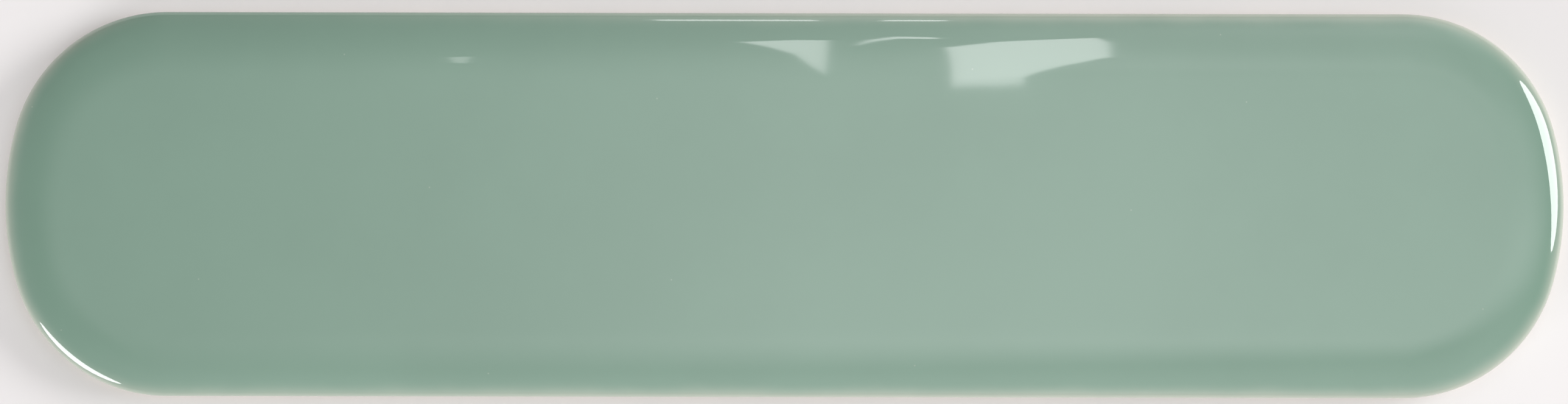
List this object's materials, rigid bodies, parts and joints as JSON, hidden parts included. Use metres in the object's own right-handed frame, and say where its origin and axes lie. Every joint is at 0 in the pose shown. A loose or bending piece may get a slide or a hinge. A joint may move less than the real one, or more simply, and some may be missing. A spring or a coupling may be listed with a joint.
{
  "type": "ceramic field tile",
  "caption": "Oblong glazed wall tile with bowed, round-cornered ends and a soft cushioned edge, on a flat ribbed back that beds in adhesive.",
  "frame": {"origin": "middle of the back, on the plane that the tile lies on", "axes": "+X along the tile's length, +Z out of the glazed face"},
  "size_m": [0.2984, 0.0734, 0.009],
  "materials": {
    "glaze": "gloss celadon-green glaze on the face and down the sides, bare cream biscuit on the back"
  },
  "bodies": {
    "root": {"tile": "glaze"}
  },
  "joints": []
}
